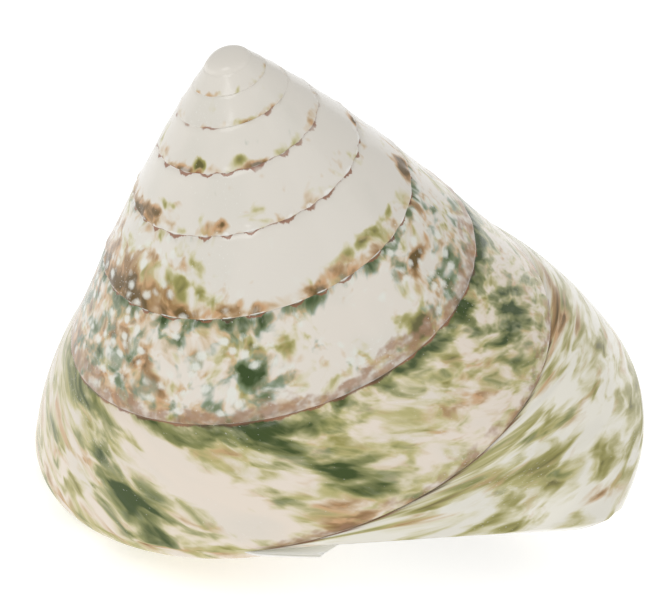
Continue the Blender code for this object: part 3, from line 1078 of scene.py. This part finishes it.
class ShellLook(bpy.types.PropertyGroup):
    """The shell's colours and polish"""

    ground: colour_of("Ground", "Ivory between the markings on the spire", (0.74, 0.70, 0.63))
    ground_warm: colour_of("Warm ground", "Cream on the sixth turn", (0.80, 0.71, 0.61))
    ground_at_lip: colour_of("Ground at the lip", "Pale cream on the last turn", (0.86, 0.83, 0.73))
    cloud: colour_of("Cloud", "Pearly grey clouds in the ground", (0.66, 0.64, 0.57))
    pale_olive: colour_of("Pale olive", "Thin olive", (0.57, 0.52, 0.23))
    olive: colour_of("Olive", "Thick olive", (0.28, 0.26, 0.055))
    dark_olive: colour_of("Dark olive", "The core of an olive mark", (0.10, 0.09, 0.025))
    tan: colour_of("Tan", "Thin brown", (0.60, 0.43, 0.23))
    green: colour_of("Green", "Grey green", (0.12, 0.17, 0.065))
    teal: colour_of("Teal", "Blue green", (0.27, 0.36, 0.28))
    dark_green: colour_of("Dark green", "Where green is thick", (0.026, 0.056, 0.006))
    brown: colour_of("Brown", "Dull brown", (0.33, 0.18, 0.065))
    orange: colour_of("Orange", "Orange tan", (0.58, 0.33, 0.16))
    umber: colour_of("Umber", "The core of a brown mark", (0.11, 0.07, 0.016))
    rosy: colour_of("Rosy brown", "Of the belt above the sutures", (0.35, 0.20, 0.115))
    grey_brown: colour_of("Grey brown", "Of the belt's lower edge", (0.15, 0.10, 0.065))
    line: colour_of("Suture line", "Thin brown line at the suture", (0.30, 0.125, 0.065))
    dark_line: colour_of("Dark suture", "Stains under the suture", (0.022, 0.022, 0.012))
    bead: colour_of("Bead", "White of the beads and grains", (0.84, 0.83, 0.79))
    dot: colour_of("Dot", "Of the pale dots in the markings", (0.76, 0.77, 0.70))
    roughness: number("Roughness", "Of the polished surface", 0.2)
    # Pearl: nacre's own white, made paler still as painted light so that the shaded ledge of the aperture's
    # rim looks lit.
    pearl_and_painted_light: colour_of("Pearl", "Inside the aperture", (0.90, 0.89, 0.85))
    pearl_rose: colour_of("Pearl rose", "Faint bands inside", (0.84, 0.72, 0.70))
    pearl_green: colour_of("Pearl green", "Faint bands inside", (0.70, 0.80, 0.73))


class StageSettings(bpy.types.PropertyGroup):
    """The camera"""

    camera_place: FloatVectorProperty(
        name="Camera place",
        description="Where the photograph was taken from",
        default=(-0.00063, -0.24409, 0.18924),
        precision=5,
        subtype="XYZ",
        unit="LENGTH",
    )
    camera_turn: FloatVectorProperty(
        name="Camera turn",
        description="The camera's angles",
        default=(math.radians(54.639), math.radians(-3.101), math.radians(2.264)),
        subtype="EULER",
    )
    lens: number("Lens", "Focal length in millimetres", 178.84)


class SHELL_OT_make(bpy.types.Operator):
    """Grows the shell by its rule, hollows it and lays it down"""

    bl_idname = "shell.make"
    bl_label = "Make the shell"

    def execute(self, context):
        sizes = context.scene.shell_sizes
        look = context.scene.shell_look
        outside = outside_material(look, sizes)
        inside = inside_material(look)
        holder = add_object("growing", bpy.data.meshes.new("growing"))
        grow = holder.modifiers.new("spiral", "NODES")
        grow.node_group = spiral_tree(sizes, outside)
        set_inputs(grow, {
            "First Turn": sizes.first_turn,
            "Lip Turn": sizes.lip_turn,
            "Hollow": sizes.cover_hollow,
        })
        skin = made_plain(holder, "skin")
        cap_apex(skin, sizes, outside)
        chamber = make_chamber(sizes, inside)
        cut = skin.modifiers.new("hollow", "BOOLEAN")
        cut.object = chamber
        cut.operation = "DIFFERENCE"
        cut.solver = "EXACT"
        cut.material_mode = "TRANSFER"
        context.view_layer.update()
        shell = made_plain(skin, "top_shell")
        bpy.data.objects.remove(chamber)
        shell.data.transform(rest_pose(context.scene.shell_pose))
        points = np.array([v.co for v in shell.data.vertices])
        if not len(points):
            raise RuntimeError("the hollow took the whole shell away")
        low, high = points.min(axis=0), points.max(axis=0)
        middle = (low + high) / 2
        shell.data.transform(Matrix.Translation((-middle[0], -middle[1], -low[2])))
        shell.data.shade_smooth()
        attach(shell, "root")
        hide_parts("shell")
        return {"FINISHED"}


class SHELL_OT_stage(bpy.types.Operator):
    """Puts a pale floor under the shell, soft light over it, and the camera where the photograph was taken"""

    bl_idname = "shell.stage"
    bl_label = "Set the stage"

    def execute(self, context):
        scene = context.scene
        stage = scene.shell_stage
        floor_material, _, shader = new_material("pale_floor")
        shader.inputs["Base Color"].default_value = FLOOR_COLOUR
        shader.inputs["Emission Color"].default_value = (1.0, 1.0, 1.0, 1.0)
        shader.inputs["Emission Strength"].default_value = FLOOR_GLOW
        shader.inputs["Roughness"].default_value = 0.9
        data = bpy.data.meshes.new("floor")
        far = FLOOR_HALF_WIDTH
        data.from_pydata([(-far, -far, 0), (far, -far, 0), (far, far, 0), (-far, far, 0)], [], [(0, 1, 2, 3)])
        data.materials.append(floor_material)
        floor = add_object("floor", data)
        world = bpy.data.worlds.new("studio")
        world.use_nodes = True
        background = world.node_tree.nodes["Background"]
        background.inputs["Color"].default_value = (1, 1, 1, 1)
        background.inputs["Strength"].default_value = WORLD_STRENGTH
        scene.world = world
        for name, place, size, power in LAMPS:
            lamp = bpy.data.lights.new(name, "AREA")
            lamp.size = size
            lamp.energy = power
            made = add_object(name, lamp)
            made.location = place
            made.rotation_euler = (LIT_POINT - Vector(place)).to_track_quat("-Z", "Y").to_euler()
        lens = bpy.data.cameras.new("camera")
        lens.sensor_width = 36.0
        lens.lens = stage.lens
        lens.clip_start = 0.01
        camera = add_object("camera", lens)
        camera.location = stage.camera_place
        camera.rotation_euler = Euler(stage.camera_turn)
        scene.camera = camera
        scene.view_settings.view_transform = "Standard"
        return {"FINISHED"}


class SHELL_PT_panel(bpy.types.Panel):
    """Sizes, pose, colours and stage, with a button for each step"""

    bl_label = "Top shell"
    bl_idname = "SHELL_PT_panel"
    bl_space_type = "VIEW_3D"
    bl_region_type = "UI"
    bl_category = "Shell"

    def draw(self, context):
        for group in (context.scene.shell_sizes, context.scene.shell_pose, context.scene.shell_look):
            box = self.layout.box()
            for name in group.__annotations__:
                box.prop(group, name)
        self.layout.operator("shell.make")
        box = self.layout.box()
        for name in context.scene.shell_stage.__annotations__:
            box.prop(context.scene.shell_stage, name)
        self.layout.operator("shell.stage")


CLASSES = (
    ShellSizes,
    ShellPose,
    ShellLook,
    StageSettings,
    SHELL_OT_make,
    SHELL_OT_stage,
    SHELL_PT_panel,
)


def register():
    for each in CLASSES:
        bpy.utils.register_class(each)
    bpy.types.Scene.shell_sizes = PointerProperty(type=ShellSizes)
    bpy.types.Scene.shell_pose = PointerProperty(type=ShellPose)
    bpy.types.Scene.shell_look = PointerProperty(type=ShellLook)
    bpy.types.Scene.shell_stage = PointerProperty(type=StageSettings)


def unregister():
    del bpy.types.Scene.shell_stage
    del bpy.types.Scene.shell_look
    del bpy.types.Scene.shell_pose
    del bpy.types.Scene.shell_sizes
    for each in reversed(CLASSES):
        bpy.utils.unregister_class(each)


def main():
    register()
    bpy.ops.shell.make()
    bpy.ops.shell.stage()


if __name__ == "__main__":
    main()
